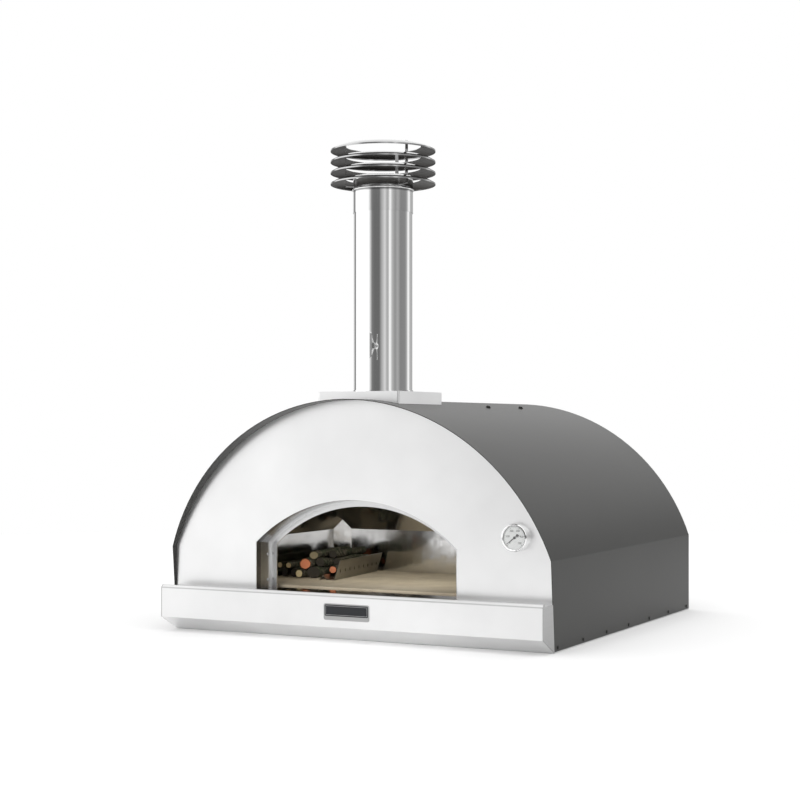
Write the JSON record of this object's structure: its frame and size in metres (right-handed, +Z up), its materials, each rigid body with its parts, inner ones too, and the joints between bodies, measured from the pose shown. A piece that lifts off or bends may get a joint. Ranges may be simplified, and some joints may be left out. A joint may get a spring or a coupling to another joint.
{
  "type": "wood fired pizza oven",
  "caption": "Arched countertop oven with a painted shell, satin steel front and shelf, tiled chamber, flue pipe with a ringed cap, damper and thermometer.",
  "frame": {"origin": "middle of the underside of the base tray", "axes": "+Z up, +Y from the mouth to the back, +X to the right of a person facing the mouth"},
  "size_m": [1.1852, 1.2294, 1.3839],
  "materials": {
    "galvanised_steel": "dull zinc",
    "insulating_board": "matt",
    "refractory_tile": "matt, fine grain",
    "mineral_wool": "fibrous",
    "dark_paint": "satin, fine texture",
    "satin_steel": "fine satin",
    "reveal_steel": "satin",
    "rivet_steel": "satin",
    "mirror_steel": "polished, warm",
    "grey_steel": "satin",
    "plate_metal": "satin",
    "dark_enamel": "satin",
    "chamber_steel": "smoke-tinted, half polished",
    "polished_steel": "polished",
    "damper_steel": "polished",
    "bezel_chrome": "polished",
    "dial_white": "matt",
    "needle_black": "matt",
    "dial_glass": "clear",
    "probe_brass": "turned",
    "guard_steel": "heat-tinted",
    "branch_wood": "bark"
  },
  "bodies": {
    "oven": {"base_tray": "galvanised_steel", "floor_rails": "galvanised_steel", "floor_tray": "galvanised_steel", "flue_throat": "galvanised_steel", "floor_board": "insulating_board", "floor_tiles": "refractory_tile", "insulation": "mineral_wool", "outer_shell": "dark_paint", "side_screws": "dark_paint", "crown_studs": "dark_paint", "back_panel": "dark_paint", "front_panel": "satin_steel", "front_shelf": "satin_steel", "flue_base": "satin_steel", "mouth_reveal": "reveal_steel", "mouth_flange": "reveal_steel", "reveal_rivets": "rivet_steel", "back_screws": "rivet_steel", "sill_plate": "mirror_steel", "shelf_cap_left": "grey_steel", "shelf_cap_right": "grey_steel", "name_plate": "plate_metal", "name_plate_inset": "dark_enamel", "chamber_walls": "chamber_steel", "flue_pipe": "polished_steel", "damper_boss": "polished_steel", "damper_bush": "polished_steel", "thermometer_case": "bezel_chrome", "thermometer_bezel": "bezel_chrome", "thermometer_dial": "dial_white", "thermometer_glass": "dial_glass", "thermometer_probe": "probe_brass", "thermometer_nut": "probe_brass"},
    "damper": {"damper_plate": "damper_steel", "damper_spindle": "damper_steel", "damper_handle": "damper_steel"},
    "needle": {"thermometer_needle": "needle_black"},
    "cap": {"cap_sleeve": "polished_steel", "cap_struts": "polished_steel", "cap_ring_1": "polished_steel", "cap_ring_2": "polished_steel", "cap_ring_3": "polished_steel", "cap_ring_4": "polished_steel"},
    "log_load": {"log_guard": "guard_steel", "log_1": "branch_wood", "log_2": "branch_wood", "log_3": "branch_wood", "log_4": "branch_wood", "log_5": "branch_wood", "log_6": "branch_wood", "log_7": "branch_wood", "log_8": "branch_wood", "log_9": "branch_wood", "log_10": "branch_wood"}
  },
  "joints": [
    {"name": "damper_turn", "type": "hinge", "parent": "oven", "child": "damper", "pos_m": [0, -0.3681, 0.81], "axis": [0.225, -0.9744, 0], "range_deg": [0, 90]},
    {"name": "needle_turn", "type": "hinge", "parent": "oven", "child": "needle", "pos_m": [0.488, -0.5625, 0.297], "axis": [0, 1, 0], "range_deg": [-5, 260], "stiffness_Nm_per_rad": 0.002},
    {"name": "cap_lift", "type": "slide", "parent": "oven", "child": "cap", "axis": [0, 0, 1], "range_m": [0, 0.06]},
    {"name": "log_load_slide", "type": "slide", "parent": "oven", "child": "log_load", "axis": [1, 0, 0], "range_m": [0, 0.55]}
  ]
}
